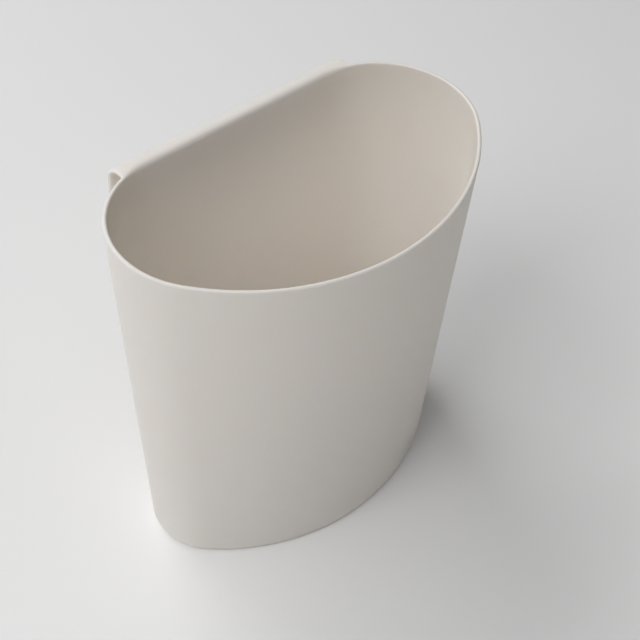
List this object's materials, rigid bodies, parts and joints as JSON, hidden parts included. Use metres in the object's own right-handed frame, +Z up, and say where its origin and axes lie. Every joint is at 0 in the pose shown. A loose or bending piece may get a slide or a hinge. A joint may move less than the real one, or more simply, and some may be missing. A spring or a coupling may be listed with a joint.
{
  "type": "hook-over waste bin",
  "caption": "Small open-topped tapered tub with a flat back, a rounded front and a rear hook flange that hangs over a rail or panel to take dog waste.",
  "frame": {"origin": "on the surface the bin stands on, under the middle of its overall width and depth, the hook included", "axes": "+Z up out of the open mouth; +Y towards the flat back and the hook; +X to the right as seen from the rounded front"},
  "size_m": [0.12, 0.0764, 0.126],
  "materials": {
    "shell_plastic": "fine matte moulded polypropylene, warm off-white",
    "soft_pad": "soft satin elastomer, light grey"
  },
  "bodies": {
    "root": {"bin_shell": "shell_plastic", "hook_grip_strip": "soft_pad", "back_bumper_left": "soft_pad", "back_bumper_right": "soft_pad"}
  },
  "joints": []
}
